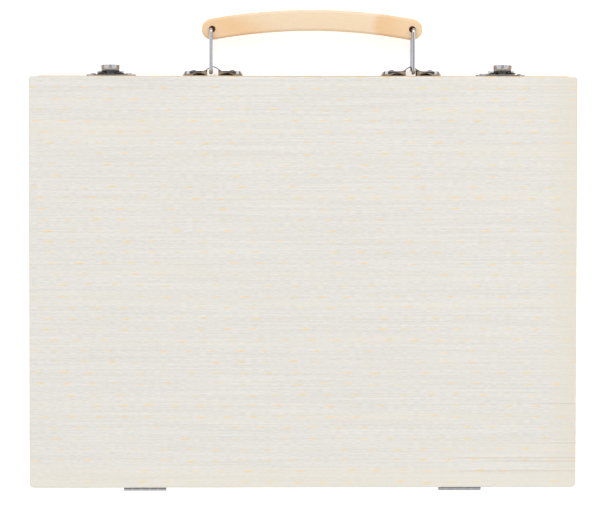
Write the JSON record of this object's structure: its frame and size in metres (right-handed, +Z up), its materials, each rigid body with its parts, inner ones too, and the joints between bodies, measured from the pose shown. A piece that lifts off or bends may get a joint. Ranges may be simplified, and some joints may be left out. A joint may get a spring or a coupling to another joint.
{
  "type": "brush box",
  "caption": "Flat wooden brush and paint carrying case with a hinged lid, two snap latches and an arched wooden grip on swinging wire bails.",
  "frame": {"origin": "centre of the case's plan, on the underside of its base panel", "axes": "the case lies flat with its lid up: +X along its width, -Y towards the handle and latches, +Y towards the hinges, +Z up through the lid"},
  "size_m": [0.38, 0.3362, 0.045],
  "materials": {
    "panel_plywood": "pale plywood face, sanded, clear matt lacquer",
    "rim_wood": "pale solid wood, sanded, clear matt lacquer",
    "divider_wood": "pale thin wood, sanded",
    "grip_wood": "warm pale wood, smooth, satin lacquer",
    "bail_wire": "bright nickel-plated wire",
    "nickel_plate": "bright nickel-plated pressed steel",
    "screw_steel": "bright nickel-plated steel"
  },
  "bodies": {
    "base": {"base_panel": "panel_plywood", "base_front_rail": "rim_wood", "base_back_rail": "rim_wood", "base_left_rail": "rim_wood", "base_right_rail": "rim_wood", "long_divider": "divider_wood", "left_cross_divider": "divider_wood", "right_cross_divider": "divider_wood", "left_hinge_base_leaf": "nickel_plate", "left_hinge_pin": "screw_steel", "right_hinge_base_leaf": "nickel_plate", "right_hinge_pin": "screw_steel", "base_hinge_screws": "screw_steel", "left_latch_plate": "nickel_plate", "left_latch_pin": "screw_steel", "right_latch_plate": "nickel_plate", "right_latch_pin": "screw_steel", "latch_plate_screws": "screw_steel", "left_handle_plate": "nickel_plate", "right_handle_plate": "nickel_plate", "handle_plate_screws": "screw_steel"},
    "lid": {"lid_panel": "panel_plywood", "lid_front_rail": "rim_wood", "lid_back_rail": "rim_wood", "lid_left_rail": "rim_wood", "lid_right_rail": "rim_wood", "left_hinge_lid_leaf": "nickel_plate", "right_hinge_lid_leaf": "nickel_plate", "lid_hinge_screws": "screw_steel", "left_latch_catch": "nickel_plate", "right_latch_catch": "nickel_plate", "latch_catch_screws": "screw_steel"},
    "left_latch": {"left_latch_arm": "nickel_plate"},
    "right_latch": {"right_latch_arm": "nickel_plate"},
    "left_bail": {"left_bail": "bail_wire"},
    "grip": {"handle_grip": "grip_wood"},
    "right_bail": {"right_bail": "bail_wire"}
  },
  "joints": [
    {"name": "lid_hinge", "type": "hinge", "parent": "base", "child": "lid", "pos_m": [0, 0.1451, 0.02815], "axis": [-1, 0, 0], "range_deg": [0, 180]},
    {"name": "left_latch_hinge", "type": "hinge", "parent": "base", "child": "left_latch", "pos_m": [-0.13825, -0.1449, 0.0254], "axis": [1, 0, 0], "range_deg": [0, 150]},
    {"name": "right_latch_hinge", "type": "hinge", "parent": "base", "child": "right_latch", "pos_m": [0.13375, -0.1449, 0.0254], "axis": [1, 0, 0], "range_deg": [0, 150]},
    {"name": "left_bail_swing", "type": "hinge", "parent": "base", "child": "left_bail", "pos_m": [-0.0771, -0.1451, 0.014], "axis": [0, 0, 1], "range_deg": [-70, 70]},
    {"name": "grip_pivot", "type": "hinge", "parent": "left_bail", "child": "grip", "pos_m": [-0.0771, -0.1752, 0.014], "axis": [0, 0, 1], "range_deg": [-70, 70]},
    {"name": "right_bail_swing", "type": "hinge", "parent": "base", "child": "right_bail", "pos_m": [0.0641, -0.1451, 0.014], "axis": [0, 0, 1], "range_deg": [-70, 70]}
  ],
  "couplings": [
    {"joint": "grip_pivot", "follows": "left_bail_swing", "ratio": -1},
    {"joint": "right_bail_swing", "follows": "left_bail_swing", "ratio": 1}
  ]
}
